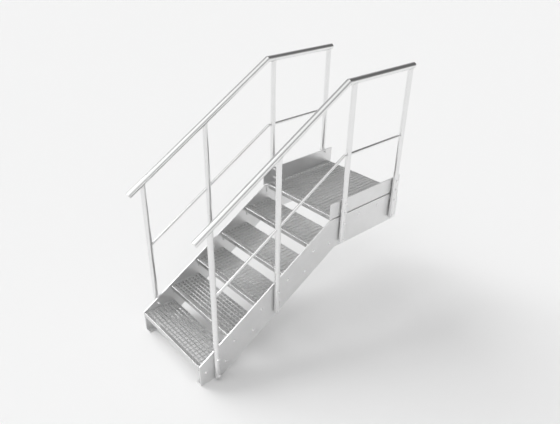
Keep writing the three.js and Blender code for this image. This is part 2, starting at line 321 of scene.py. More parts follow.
class Draft:
    """A mesh in the making, in metres and in the frame's own axes."""

    def __init__(self) -> None:
        """Starts an empty mesh."""
        self.mesh = bmesh.new()

    def skin(self, rings: Sequence[Ring], looped: bool = False) -> None:
        """Joins rings of points by faces.

        Args:
            rings: Rings with the same number of points, in order.
            looped: Whether the last ring joins the first. If not, both are closed by faces.
        """
        rows = [[self.mesh.verts.new(point) for point in ring] for ring in rings]
        for near, far in zip(rows, rows[1:] + rows[:1] if looped else rows[1:]):
            self.join(near, far)
        if not looped:
            self.mesh.faces.new(rows[0])
            self.mesh.faces.new(rows[-1])

    def join(self, near: Verts, far: Verts, left_out: Container[int] = ()) -> None:
        """Joins two rings of corners by faces.

        Args:
            near: The first ring.
            far: The second ring.
            left_out: The faces to leave out, as places of their first corner in the ring.
        """
        for index, vert in enumerate(near):
            if index not in left_out:
                after = (index + 1) % len(near)
                self.mesh.faces.new((vert, near[after], far[after], far[index]))

    def bar(self, low: Vector, high: Vector) -> None:
        """Adds a straight bar between its lowest and its highest corner."""
        corners = [(low.x, low.y), (high.x, low.y), (high.x, high.y), (low.x, high.y)]
        self.skin([[Vector((x, y, z)) for x, y in corners] for z in (low.z, high.z)])

    def revolve(self, centre: Vector, outward: Vector, profile: Sequence[Span], steps: int,
                looped: bool = False) -> None:
        """Turns a profile of radii and heights about an axis that runs across the stairs."""
        rings = [round_ring(centre + outward * height, radius, steps) for radius, height in profile]
        self.skin(rings, looped=looped)

    def piece(self, name: str, material: bpy.types.Material, slot: Slot,
              rounding: float = 0.0) -> bpy.types.Object:
        """Closes the draft and makes it a piece that rides on the frame.

        Args:
            name: The piece's name.
            material: Its finish.
            slot: The record's material slot; not used.
            rounding: Radius of its edges, or zero for edges as they are.

        Returns:
            The piece.
        """
        bmesh.ops.recalc_face_normals(self.mesh, faces=self.mesh.faces)
        data = bpy.data.meshes.new(name)
        self.mesh.to_mesh(data)
        self.mesh.free()
        piece = bpy.data.objects.new(name, data)
        bpy.context.scene.collection.objects.link(piece)
        data.materials.append(material)
        data.shade_smooth()
        data.set_sharp_from_angle(angle=SMOOTH_LIMIT)
        if rounding:
            round_edges(piece, rounding)
        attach(piece, BODY)
        return piece


def round_edges(piece: bpy.types.Object, radius: float) -> None:
    """Gives a piece rounded edges by a bevel modifier.

    Args:
        piece: The piece.
        radius: Radius of the edges.
    """
    bevel = piece.modifiers.new("rounded_edges", "BEVEL")
    bevel.width = radius
    bevel.segments = BEVEL_SEGMENTS
    bevel.limit_method = "ANGLE"
    bevel.angle_limit = BEVEL_LIMIT
    bevel.harden_normals = True
    bevel.use_clamp_overlap = True


def round_turns(steps: int) -> list[float]:
    """Angles of points spread evenly round a circle."""
    return [2 * math.pi * step / steps for step in range(steps)]


def round_ring(centre: Vector, radius: float, steps: int) -> Ring:
    """A round ring of points in an upright plane along the stairs."""
    spokes = [(radius * math.cos(turn), radius * math.sin(turn)) for turn in round_turns(steps)]
    return [centre + Vector((x, 0.0, z)) for x, z in spokes]


def sweep(draft: Draft, path: Sequence[Vector], hub: Vector, radius_at: Callable[[int], float],
          sides: int = 8) -> None:
    """Lays a round bead along a closed path.

    Args:
        draft: The mesh that takes the bead.
        path: The points that the bead follows, in order round the hub.
        hub: A point inside the path.
        radius_at: The bead's radius at each point of the path.
        sides: Points round the bead.
    """
    rings = []
    turns = round_turns(sides)
    for index, point in enumerate(path):
        along = (path[(index + 1) % len(path)] - path[index - 1]).normalized()
        away = point - hub
        away = (away - along * away.dot(along)).normalized()
        across = along.cross(away)
        radius = radius_at(index)
        rings.append([point + (away * math.cos(turn) + across * math.sin(turn)) * radius for turn in turns])
    draft.skin(rings, looped=True)


@dataclass(frozen=True)
class RailLine:
    """Centre line of a rail: up the flight to a bend, then level along the landing."""

    front: Vector
    bend: Vector
    rear: Vector
    radius: float

    @classmethod
    def from_nodes(cls, flight: str, landing: str) -> "RailLine":
        """Finds the line from the boxes of the rail's two CAD tubes.

        Args:
            flight: Name of the sloped tube.
            landing: Name of the level tube.

        Returns:
            The centre line.
        """
        low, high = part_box(flight)
        level_low, level_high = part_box(landing)
        radius = (high.y - low.y) / 2
        y = (high.y + low.y) / 2
        bend = Vector(((high.x + level_low.x) / 2, y, (level_low.z + level_high.z) / 2))
        front = Vector((low.x, y, low.z))
        for _ in range(FIT_ROUNDS):
            pitch = math.atan2(bend.z - front.z, bend.x - front.x)
            front = Vector((low.x + radius * math.sin(pitch), y, low.z + radius * math.cos(pitch)))
        return cls(front, bend, Vector((level_high.x, y, bend.z)), radius)

    @property
    def pitch(self) -> float:
        """Angle of the sloped stretch above level."""
        return math.atan2(self.bend.z - self.front.z, self.bend.x - self.front.x)

    def tilt_at(self, x: float) -> float:
        """Angle of the line at a place along the stairs."""
        return self.pitch if x < self.bend.x else 0.0

    def height_at(self, x: float) -> float:
        """Height of the centre line at a place along the stairs."""
        return self.bend.z + min(0.0, x - self.bend.x) * math.tan(self.pitch)

    def underside(self, x: float, offset: float) -> float:
        """Height of the rail's lower surface, at an offset from its line across the stairs."""
        reach = math.sqrt(max(0.0, self.radius**2 - offset**2))
        return self.height_at(x) - reach / math.cos(self.tilt_at(x))

    def ring(self, point: Vector, lean: float, radius: float, steps: int, stretch: float = 1.0) -> Ring:
        """A ring of points round the rail.

        Args:
            point: Where the line passes through the ring.
            lean: Angle of the ring's plane from upright.
            radius: The rail's radius, or that of its bore.
            steps: How many points the ring has.
            stretch: How much longer the ring is along its lean than a square cut.

        Returns:
            The points.
        """
        tall = Vector((-math.sin(lean), 0.0, math.cos(lean))) * radius * stretch
        wide = Vector((0.0, radius, 0.0))
        return [point + wide * math.cos(turn) + tall * math.sin(turn) for turn in round_turns(steps)]


@dataclass
class Finishes:
    """The materials of the stairs, each made once."""

    # The plates' edges carry a painted highlight in their colour.
    plate: bpy.types.Material = field(default_factory=lambda: Metal(
        "plate_steel", tone=0.81, roughness=0.4, mottle=0.02, relief=0.000012,
        edge_lift=0.22).material())
    upright_tube: bpy.types.Material = field(default_factory=lambda: Metal(
        "upright_tube_steel", tone=0.86, roughness=0.2, mottle=0.02, grain=Grain.DRAWN_UPRIGHT,
        relief=0.000008, roughness_swing=0.03).material())
    level_tube: bpy.types.Material = field(default_factory=lambda: Metal(
        "level_tube_steel", tone=0.86, roughness=0.17, mottle=0.02, grain=Grain.DRAWN_LEVEL,
        relief=0.000008, roughness_swing=0.03).material())
    grating: bpy.types.Material = field(default_factory=lambda: Metal(
        "grating_steel", tone=0.74, roughness=0.34, mottle=0.05, mottle_scale=14.0,
        relief=0.000004, roughness_swing=0.02).material())
    nosing: bpy.types.Material = field(default_factory=lambda: Metal(
        "nosing_steel", tone=0.7, roughness=0.2, mottle=0.03, grain=Grain.DRAWN_ACROSS).material())
    fastener: bpy.types.Material = field(default_factory=lambda: Metal(
        "fastener_zinc", tone=0.92, roughness=0.18, mottle=0.05, mottle_scale=60.0).material())
    weld: bpy.types.Material = field(default_factory=lambda: Metal(
        "weld_bead", tone=0.7, roughness=0.5, mottle=0.1, mottle_scale=160.0).material())


@dataclass
class PlateWork:
    """The CAD plates that stay: stringers, kick plates, landing angles and tread end plates."""

    finishes: Finishes
    edge: float = 0.0013
    weld_distance: float = 0.00002
    flat_limit: float = math.radians(1)

    def dress(self, nodes: dict[str, bpy.types.Object]) -> None:
        """Gives each plate its finish and rounded edges.

        Args:
            nodes: The CAD nodes by name.
        """
        for name, node in sorted(nodes.items()):
            if name.startswith(("stringer", "kick_plate", "landing_angle", "foot_plate", "wall_plate")):
                self._dress(node, self.finishes.plate)
            elif "end_plate" in name:
                self._dress(node, self.finishes.grating)

    def _dress(self, node: bpy.types.Object, material: bpy.types.Material) -> None:
        """Dresses one plate.

        Args:
            node: The plate's CAD node.
            material: Its finish.
        """
        node.data.materials.clear()
        node.data.materials.append(material)
        joined = node.modifiers.new("joined_faces", "WELD")
        joined.merge_threshold = self.weld_distance
        flat = node.modifiers.new("flat_faces", "DECIMATE")
        flat.decimate_type = "DISSOLVE"
        flat.angle_limit = self.flat_limit
        round_edges(node, self.edge)
        LOG.info("dressed %s", node.name)


@dataclass
class MeshPanel:
    """A pressed grating: upright bearing bars across the stairs, with cross bars sunk flush into them."""

    node: str
    finishes: Finishes
    bearing_pitch: float = 0.0343
    bearing_thickness: float = 0.003
    bearing_depth: float = 0.038
    first_bar_lead: float = 0.0055
    cross_pitch: float = 0.0378
    cross_width: float = 0.005
    cross_depth: float = 0.005
    flange_reach: float = 0.027
    flange_thickness: float = 0.003
    edge: float = 0.0007

    def build(self) -> None:
        """Builds the two sets of bars in the space of the panel's CAD node."""
        low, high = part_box(self.node)
        bars = self._bearing_bars(low, high)
        crosses = self._cross_bars(low, high)
        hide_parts(self.node)
        LOG.info("built %s and %s", bars.name, crosses.name)

    def _bearing_bars(self, low: Vector, high: Vector) -> bpy.types.Object:
        """Builds the bearing bars, lowered where they lie under the nosing's flange.

        Args:
            low: The panel's lowest corner.
            high: The panel's highest corner.

        Returns:
            The bars as one piece.
        """
        draft = Draft()
        foot = high.z - self.bearing_depth
        start = low.x + self.first_bar_lead
        for x in self._places(start, high.x, self.bearing_thickness, self.bearing_pitch):
            covered = x < low.x + self.flange_reach
            top = high.z - (self.flange_thickness if covered else 0.0)
            draft.bar(Vector((x, low.y, foot)), Vector((x + self.bearing_thickness, high.y, top)))
        return draft.piece(f"{self.node}_bearing_bars", self.finishes.grating, Slot.GRATING, self.edge)

    def _cross_bars(self, low: Vector, high: Vector) -> bpy.types.Object:
        """Builds the cross bars behind the nosing's flange.

        Args:
            low: The panel's lowest corner.
            high: The panel's highest corner.

        Returns:
            The bars as one piece.
        """
        draft = Draft()
        front, foot = low.x + self.flange_reach, high.z - self.cross_depth
        for y in self._places(low.y, high.y, self.cross_width, self.cross_pitch):
            draft.bar(Vector((front, y, foot)), Vector((high.x, y + self.cross_width, high.z)))
        return draft.piece(f"{self.node}_cross_bars", self.finishes.grating, Slot.GRATING, self.edge)

    def _places(self, low: float, high: float, thickness: float, pitch: float) -> list[float]:
        """Places of the bars of one direction, the first and last at the ends of their run."""
        gaps = round((high - low - thickness) / pitch)
        return [low + (high - low - thickness) * index / gaps for index in range(gaps + 1)]


@dataclass
class NosingAngle:
    """The angle along the front of a panel, with two staggered rows of punched grip holes."""

    node: str
    finishes: Finishes
    thickness: float = 0.003
    front_radius: float = 0.005
    rear_radius: float = 0.001
    inner_radius: float = 0.0005
    arc_steps: int = 6
    cell_width: float = 0.0196
    cell_steps: int = 4
    collar: float = 0.0052
    crown: float = 0.0042
    hole: float = 0.003
    hole_rim: float = 0.0004
    crown_lift: float = 0.0011
    shoulder_share: float = 0.75
    rim_share: float = 0.8

    def build(self) -> None:
        """Builds the angle in the space of its CAD node."""
        low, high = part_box(self.node)
        draft = Draft()
        cells = round((high.y - low.y) / self.cell_width)
        count = cells * self.cell_steps
        stations = [low.y + (high.y - low.y) * step / count for step in range(count + 1)]
        section, top_start, foot_end = self._section(low, high)
        rings = [[draft.mesh.verts.new(Vector((x, y, z))) for x, z in section] for y in stations]
        for station, (near, far) in enumerate(zip(rings, rings[1:])):
            first = self._row_start(station)
            punched = {top_start + first + across for across in range(self.cell_steps)}
            punched |= {foot_end - 1 - first - across for across in range(self.cell_steps)}
            draft.join(near, far, punched)
        draft.mesh.faces.new(rings[0])
        draft.mesh.faces.new(rings[-1])
        for cell in range(cells):
            border = self._border(cell * self.cell_steps)
            upper = [rings[along][top_start + across] for along, across in border]
            lower = [rings[along][foot_end - across] for along, across in border]
            self._punch(draft, upper, lower)
        loose = [vert for vert in draft.mesh.verts if not vert.link_faces]
        bmesh.ops.delete(draft.mesh, geom=loose, context="VERTS")
        angle = draft.piece(f"{self.node}_angle", self.finishes.nosing, Slot.NOSING)
        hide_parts(self.node)
        LOG.info("built %s", angle.name)

    def _section(self, low: Vector, high: Vector) -> tuple[list[Span], int, int]:
        """Outlines the angle's section.

        Args:
            low: The angle's lowest corner.
            high: The angle's highest corner.

        Returns:
            Its points as X and Z, the first index of its top row and the last one of its underside.
        """
        points = [(low.x, low.z)]
        centre_x, centre_z = low.x + self.front_radius, high.z - self.front_radius
        for step in range(self.arc_steps):
            turn = math.radians(180 - 90 * step / self.arc_steps)
            points.append((centre_x + self.front_radius * math.cos(turn),
                           centre_z + self.front_radius * math.sin(turn)))
        top_start = len(points)
        flat_end = high.x - self.rear_radius
        count = 2 * self.cell_steps
        row = [centre_x + (flat_end - centre_x) * step / count for step in range(count + 1)]
        points += [(x, high.z) for x in row]
        points += [(high.x, high.z - self.rear_radius), (high.x, high.z - self.thickness)]
        points += [(x, high.z - self.thickness) for x in reversed(row)]
        foot_end = len(points) - 1
        inner = low.x + self.thickness
        points += [(inner, high.z - self.thickness - self.inner_radius), (inner, low.z)]
        return points, top_start, foot_end

    def _row_start(self, station: int) -> int:
        """Where the punched cell at a station starts across the flange."""
        return station // self.cell_steps % 2 * self.cell_steps

    def _border(self, station: int) -> list[tuple[int, int]]:
        """Goes round the cell that starts at a station.

        Args:
            station: The cell's first station.

        Returns:
            The points round it in order, as station and place across.
        """
        first, last = self._row_start(station), self.cell_steps
        steps = range(last)
        border = [(station + step, first) for step in steps]
        border += [(station + last, first + step) for step in steps]
        border += [(station + last - step, first + last) for step in steps]
        border += [(station, first + last - step) for step in steps]
        return border

    def _punch(self, draft: Draft, upper: Verts, lower: Verts) -> None:
        """Builds one raised collar round its hole.

        Args:
            draft: The mesh that takes the collar.
            upper: The corners round its cell in the top face.
            lower: The corners round its cell in the underside.
        """
        centre = sum((vert.co for vert in upper), Vector()) / len(upper)
        turns = [math.atan2(vert.co.y - centre.y, vert.co.x - centre.x) for vert in upper]
        wall = [(self.collar, 0.0), ((self.collar + self.crown) / 2, self.crown_lift * self.shoulder_share),
                (self.crown, self.crown_lift), (self.hole + self.hole_rim, self.crown_lift * self.rim_share),
                (self.hole, 0.0), (self.hole, -self.thickness)]
        rows = [upper]
        for radius, lift in wall:
            circle = [Vector((radius * math.cos(turn), radius * math.sin(turn), lift)) for turn in turns]
            rows.append([draft.mesh.verts.new(centre + spoke) for spoke in circle])
        rows.append(lower)
        for near, far in zip(rows, rows[1:]):
            draft.join(near, far)


@dataclass
class Post:
    """A round tube post, coped under the handrail and welded to the rails."""

    node: str
    handrail: RailLine
    mid_rail: RailLine
    finishes: Finishes
    wall: float = 0.0026
    steps: int = 48
    bead: float = 0.0022
    mid_bead_share: float = 0.8
    ripple: float = 0.12
    ripples: int = 22
    centre: Vector = field(init=False)
    radius: float = field(init=False)
    foot: float = field(init=False)

    def __post_init__(self) -> None:
        """Takes the post's place from its CAD node."""
        low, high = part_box(self.node)
        self.centre, self.radius, self.foot = (low + high) / 2, (high.x - low.x) / 2, low.z

    def build(self) -> None:
        """Builds the tube and the weld beads at its rails."""
        bore = self.radius - self.wall
        draft = Draft()
        outside = [self._ring(self.radius, self.foot), self._ring(self.radius)]
        draft.skin(outside + [self._ring(bore), self._ring(bore, self.foot)], looped=True)
        tube = draft.piece(f"{self.node}_tube", self.finishes.upright_tube, Slot.RAILING)
        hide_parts(self.node)
        self._weld_top()
        self._weld_mid_rail()
        LOG.info("built %s", tube.name)

    def _ring(self, radius: float, z: float | None = None) -> Ring:
        """A ring of the tube.

        Args:
            radius: The ring's radius.
            z: Its height. Without one it is coped under the handrail.

        Returns:
            The points.
        """
        ring = []
        for turn in round_turns(self.steps):
            x, offset = self.centre.x + radius * math.cos(turn), radius * math.sin(turn)
            top = self.handrail.underside(x, offset) if z is None else z
            ring.append(Vector((x, self.centre.y + offset, top)))
        return ring

    def _bead_radius(self, index: int) -> float:
        """Radius of a rippled bead at one point of its path."""
        return self.bead * (1 + self.ripple * math.cos(2 * math.pi * self.ripples * index / self.steps))

    def _weld_top(self) -> None:
        """Lays the bead between the post and the handrail."""
        path = self._ring(self.radius)
        hub = Vector((self.centre.x, self.centre.y, sum(point.z for point in path) / len(path)))
        draft = Draft()
        sweep(draft, path, hub, self._bead_radius)
        draft.piece(f"{self.node}_top_weld", self.finishes.weld, Slot.RAILING)

    def _weld_mid_rail(self) -> None:
        """Lays a bead round the mid rail on each face of the post that it leaves."""
        start, end = self.mid_rail.front.x, self.mid_rail.rear.x
        faces = [sign for sign in (-1, 1) if start < self.centre.x + sign * self.radius < end]
        if not faces:
            return
        draft = Draft()
        for sign in faces:
            path = self._mid_rail_path(sign)
            hub = sum(path, Vector()) / len(path)
            sweep(draft, path, hub, lambda index: self._bead_radius(index) * self.mid_bead_share)
        draft.piece(f"{self.node}_mid_weld", self.finishes.weld, Slot.RAILING)

    def _mid_rail_path(self, sign: int) -> Ring:
        """Finds where the mid rail's surface meets one face of the post.

        Args:
            sign: 1 for the face towards the wall and -1 for the other one.

        Returns:
            The points round the mid rail.
        """
        rail = self.mid_rail
        path = []
        for turn in round_turns(self.steps):
            offset, lift = rail.radius * math.cos(turn), rail.radius * math.sin(turn)
            x = self.centre.x + sign * math.sqrt(self.radius**2 - offset**2)
            z = rail.height_at(x) + lift / math.cos(rail.tilt_at(x))
            path.append(Vector((x, rail.front.y + offset, z)))
        return path


@dataclass
class Rail:
    """A rail of two tubes that meet in a welded mitre."""

    name: str
    line: RailLine
    finishes: Finishes
    replaced: tuple[str, str]
    steps: int = 64
    wall: float = 0.0026
    cap_thickness: float = 0.003
    cap_round: float = 0.0015
    cap_turns: tuple[int, ...] = (30, 60, 90)
    crease: float = 0.002
    bead: float = 0.0013
    ripple: float = 0.15
    ripples: int = 20
    ground_share: float = 0.62
    closed_ends: bool = True

    def build(self) -> None:
        """Builds the tubes, the bead on the mitre and the caps on the ends."""
        line, pitch = self.line, self.line.pitch
        inset = self.cap_thickness if self.closed_ends else 0.0
        along = Vector((math.cos(pitch), 0.0, math.sin(pitch)))
        level = Vector((1.0, 0.0, 0.0))
        front = line.front + along * inset
        rear = line.rear - level * inset
        near_bend = [line.bend - along * self.crease, line.bend, line.bend + level * self.crease]
        rings = []
        for radius in (line.radius, line.radius - self.wall):
            run = [line.ring(front, pitch, radius, self.steps)]
            run += [self._mitre(point, radius) for point in near_bend]
            run += [line.ring(rear, 0.0, radius, self.steps)]
            rings += run if radius == line.radius else run[::-1]
        draft = Draft()
        draft.skin(rings, looped=True)
        tube = draft.piece(f"{self.name}_tube", self.finishes.level_tube, Slot.RAILING)
        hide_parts(*self.replaced)
        self._weld_mitre()
        if self.closed_ends:
            self._cap(f"{self.name}_front_cap", front, -along, pitch)
            self._cap(f"{self.name}_rear_cap", rear, level, 0.0)
        LOG.info("built %s", tube.name)

    def _mitre(self, point: Vector, radius: float) -> Ring:
        """A ring in the plane of the mitre."""
        lean = self.line.pitch / 2
        return self.line.ring(point, lean, radius, self.steps, 1 / math.cos(lean))

    def _weld_mitre(self) -> None:
        """Lays the bead round the mitre."""
        path = self._mitre(self.line.bend, self.line.radius - self.bead / 2)
        draft = Draft()
        sweep(draft, path, self.line.bend, self._bead_radius)
        draft.piece(f"{self.name}_mitre_weld", self.finishes.weld, Slot.RAILING)

    def _bead_radius(self, index: int) -> float:
        """Finds how thick the mitre's bead is: rippled, and ground flush on top for the hand.

        Args:
            index: A point of the bead's path.

        Returns:
            The bead's radius there.
        """
        turn = 2 * math.pi * index / self.steps
        ripple = 1 + self.ripple * math.cos(self.ripples * turn)
        return self.bead * ripple * (1 - self.ground_share * max(0.0, math.sin(turn)) ** 2)

    def _cap(self, name: str, seat: Vector, outward: Vector, lean: float) -> None:
        """Closes one end of the rail by a disc with a rounded rim.

        Args:
            name: The disc's name.
            seat: Centre of the tube's end.
            outward: The direction that the disc faces.
            lean: Angle of the tube's end from upright.
        """
        radius, thickness, rim = self.line.radius, self.cap_thickness, self.cap_round
        profile = [(radius, 0.0), (radius, thickness - rim)]
        for turn in self.cap_turns:
            angle = math.radians(turn)
            profile.append((radius - rim * (1 - math.cos(angle)), thickness - rim * (1 - math.sin(angle))))
        draft = Draft()
        draft.skin([self.line.ring(seat + outward * height, lean, reach, self.steps)
                    for reach, height in profile])
        draft.piece(name, self.finishes.level_tube, Slot.RAILING)


@dataclass
class Bolt:
    """A bolt across a plate, with its head outside and its nut inside.

    Attributes:
        name: The piece's name.
        side: The side of the stairs that it is on.
        place: Its axis at the outer face of the plate.
        head_seat: Height of the head's seat above that face.
        nut_seat: Depth of the nut's seat below that face.
        style: The shape of its head.
        spacer: Thickness of the spacing washer on the plate, or zero.
        across: Width of a hexagon across its flats.
        head_washer: Thickness of the washer under a hexagon head.
        washer_gap: Play between a washer and the shank.
        washer_ease: Eased part of a washer's rim, as a share of its thickness.
        thread_root: Radius between two turns of the thread, as a share, as are the next two.
        corner_share: Radius of a hexagon's flat top, as a share of half its width.
        dome_rim: Height of the upright rim of a round head, as a share.
        dome_turns: Points of the dome, as shares of a quarter turn.
    """

    name: str
    side: Side
    place: Vector
    head_seat: float
    nut_seat: float
    style: HeadStyle
    spacer: float = 0.0
    diameter: float = 0.012
    across: float = 0.0195
    hex_height: float = 0.0068
    corner_share: float = 0.96
    corner_angle: float = math.radians(30)
    round_across: float = 0.023
    round_height: float = 0.0055
    dome_rim: float = 0.15
    dome_turns: tuple[float, ...] = (0.25, 0.5, 0.75, 0.92)
    nut_height: float = 0.0098
    head_washer: float = 0.0009
    washer_across: float = 0.024
    washer_thickness: float = 0.0022
    washer_gap: float = 0.0002
    washer_ease: float = 0.2
    thread_pitch: float = 0.00175
    thread_turns: int = 3
    thread_root: float = 0.86
    thread_crest: float = 0.98
    thread_tip: float = 0.78
    steps: int = 48
    draft: Draft = field(init=False, default_factory=Draft)

    def build(self, finishes: Finishes, replaced: str | None = None) -> None:
        """Builds the bolt as one piece.

        Args:
            finishes: The materials.
            replaced: Name of the CAD node that it stands for, if any.
        """
        nut_face = -self.nut_seat - self.washer_thickness
        if self.style is HeadStyle.HEX:
            self._washer(self.head_seat, self.head_washer)
            self._hexagon(self.head_seat + self.head_washer, self.hex_height, 1)
            self._shank(nut_face - self.nut_height, self.head_seat)
        else:
            self._dome()
            self._shank(nut_face - self.nut_height, 0.0)
        if self.spacer:
            self._washer(0.0, self.spacer)
        self._washer(nut_face, self.washer_thickness)
        self._hexagon(nut_face, self.nut_height, -1)
        bolt = self.draft.piece(self.name, finishes.fastener, Slot.FASTENER)
        if replaced:
            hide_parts(replaced)

    def _at(self, height: float) -> Vector:
        """A point on the bolt's axis."""
        return self.place + self.side.outward * height

    def _shank(self, low: float, high: float) -> None:
        """Adds the shank, with a few turns of thread past the nut.

        Args:
            low: Where the thread comes out of the nut.
            high: Where the shank meets the head.
        """
        radius, pitch = self.diameter / 2, self.thread_pitch
        profile = [(radius, high), (radius, low)]
        for turn in range(self.thread_turns):
            start = low - turn * pitch
            profile += [(radius * self.thread_root, start), (radius * self.thread_crest, start - pitch / 2)]
        end = low - self.thread_turns * pitch
        profile += [(radius * self.thread_root, end), (radius * self.thread_tip, end - pitch / 4)]
        self.draft.revolve(self.place, self.side.outward, profile, self.steps // 2)

    def _washer(self, low: float, thickness: float) -> None:
        """Adds a flat washer with eased rims.

        Args:
            low: Height of its lower face.
            thickness: Its thickness.
        """
        outer, inner = self.washer_across / 2, self.diameter / 2 + self.washer_gap
        ease = thickness * self.washer_ease
        profile = [
            (inner, low), (outer - ease, low), (outer, low + ease),
            (outer, low + thickness - ease), (outer - ease, low + thickness), (inner, low + thickness),
        ]
        self.draft.revolve(self.place, self.side.outward, profile, self.steps, looped=True)

    def _hexagon(self, seat: float, height: float, sign: int) -> None:
        """Adds a hexagon whose outer corners are turned off.

        Args:
            seat: Height of the face that it sits on.
            height: The hexagon's own height.
            sign: 1 for a head, which rises outwards, and -1 for a nut.
        """
        face, half = self.across / 2, math.pi / 6
        turned = face * self.corner_share
        foot_ring, side_ring, top_ring = [], [], []
        for turn in round_turns(self.steps):
            reach = face / math.cos((turn + half) % (2 * half) - half)
            drop = (reach - turned) * math.tan(self.corner_angle)
            spoke = Vector((math.cos(turn), 0.0, math.sin(turn)))
            foot_ring.append(self._at(seat) + spoke * reach)
            side_ring.append(self._at(seat + sign * (height - drop)) + spoke * reach)
            top_ring.append(self._at(seat + sign * height) + spoke * turned)
        self.draft.skin([foot_ring, side_ring, top_ring])

    def _dome(self) -> None:
        """Adds a round head on the plate."""
        reach, rim = self.round_across / 2, self.dome_rim
        profile = [(reach, self.head_seat), (reach, self.head_seat + self.round_height * rim)]
        for share in self.dome_turns:
            turn = share * math.pi / 2
            height = self.head_seat + self.round_height * (rim + (1 - rim) * math.sin(turn))
            profile.append((reach * math.cos(turn), height))
        self.draft.revolve(self.place, self.side.outward, profile, self.steps)


@dataclass
class BoltWork:
    """All the bolts of one side, placed from the CAD plates, posts and bolts."""

    side: Side
    finishes: Finishes
    front_bolt_from_plate: float = 0.034
    rear_bolt_from_plate: float = 0.055
    above_plate_edge: float = 0.010
    landing_bolts: Span = (0.317, 0.545)
    angle_thickness: float = 0.006
    upper_share: float = 0.75
    low_kick_share: float = 0.26
    kick_below_top: float = 0.019
    top_lead: float = 0.008
    spacer: float = 0.0015
    outer: float = field(init=False)
    inner: float = field(init=False)
    top: float = field(init=False)

    def __post_init__(self) -> None:
        """Takes the stringer's outer face, inner face and top from its CAD node."""
        low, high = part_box(f"stringer_{self.side.word}")
        self.outer = high.y if self.side is Side.LEFT else low.y
        self.inner, self.top = min(abs(low.y), abs(high.y)), high.z

    def build(self) -> None:
        """Builds the bolts of the treads, the landing, the posts and the kick plate."""
        self._treads()
        self._landing()
        self._posts()
        LOG.info("built the bolts on the %s", self.side.word)

    def _panel_bolt(self, name: str, x: float, z: float, inner: float) -> None:
        """Builds a round-headed bolt through the stringer and a plate with its inner face at `inner`."""
        place = Vector((x, self.outer, z))
        Bolt(name, self.side, place, 0.0, abs(self.outer) - inner, HeadStyle.ROUND).build(self.finishes)

    def _treads(self) -> None:
        """Builds the two bolts at this end of each tread."""
        for step in TREADS:
            low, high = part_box(f"tread_{step}_end_plate_{self.side.word}")
            inner = min(abs(low.y), abs(high.y))
            places = (low.x + self.front_bolt_from_plate, high.x - self.rear_bolt_from_plate)
            for place, word in zip(places, ("front", "rear")):
                name = f"tread_{step}_{word}_bolt_{self.side.word}"
                self._panel_bolt(name, place, low.z + self.above_plate_edge, inner)

    def _landing(self) -> None:
        """Builds the two bolts of the landing panel on this side."""
        low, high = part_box(f"landing_angle_{self.side.word}")
        inner = max(abs(low.y), abs(high.y)) - self.angle_thickness
        for place, word in zip(self.landing_bolts, ("front", "rear")):
            name = f"landing_{word}_bolt_{self.side.word}"
            self._panel_bolt(name, low.x + place, low.z + self.above_plate_edge, inner)

    def _posts(self) -> None:
        """Builds the two or four bolts of each post on this side."""
        word = self.side.word
        kick_low, kick_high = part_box(f"kick_plate_{word}")
        kick_inner = min(abs(kick_low.y), abs(kick_high.y))
        kick_lower = kick_low.z + (kick_high.z - kick_low.z) * self.low_kick_share
        kick_upper = kick_high.z - self.kick_below_top
        for number in POSTS:
            node, kick_node = f"post_{number}_bolt_{word}", f"kick_bolt_{number}_{word}"
            low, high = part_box(node)
            centre = (low + high) / 2
            post_low, post_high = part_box(f"post_{number}_{word}")
            head_seat = max(abs(post_low.y), abs(post_high.y)) - abs(self.outer)
            upper = centre.z + (min(self._top_edge(centre.x), self.top) - centre.z) * self.upper_share
            beside_landing = number > FLIGHT_POSTS
            upper_inner = self.inner - (self.angle_thickness if beside_landing else 0.0)
            bolts = [(f"{node}_set", centre.z, self.inner, node),
                     (f"post_{number}_upper_bolt_{word}", upper, upper_inner, None)]
            if beside_landing:
                bolts += [(f"kick_lower_bolt_{number}_{word}", kick_lower, kick_inner, None),
                          (f"{kick_node}_set", kick_upper, kick_inner, kick_node)]
            for name, z, inner, replaced in bolts:
                bolt = Bolt(name, self.side, Vector((centre.x, self.outer, z)), head_seat,
                            abs(self.outer) - inner, HeadStyle.HEX, self.spacer)
                bolt.build(self.finishes, replaced)

    def _top_edge(self, x: float) -> float:
        """Finds the height of the stringer's sloped top edge.

        Args:
            x: Place along the stairs.

        Returns:
            The height there.
        """
        first_low, first_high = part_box("tread_1_nosing")
        second_low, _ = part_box("tread_2_nosing")
        slope = (second_low.z - first_low.z) / (second_low.x - first_low.x)
        return first_high.z + (x - first_low.x) * slope + self.top_lead


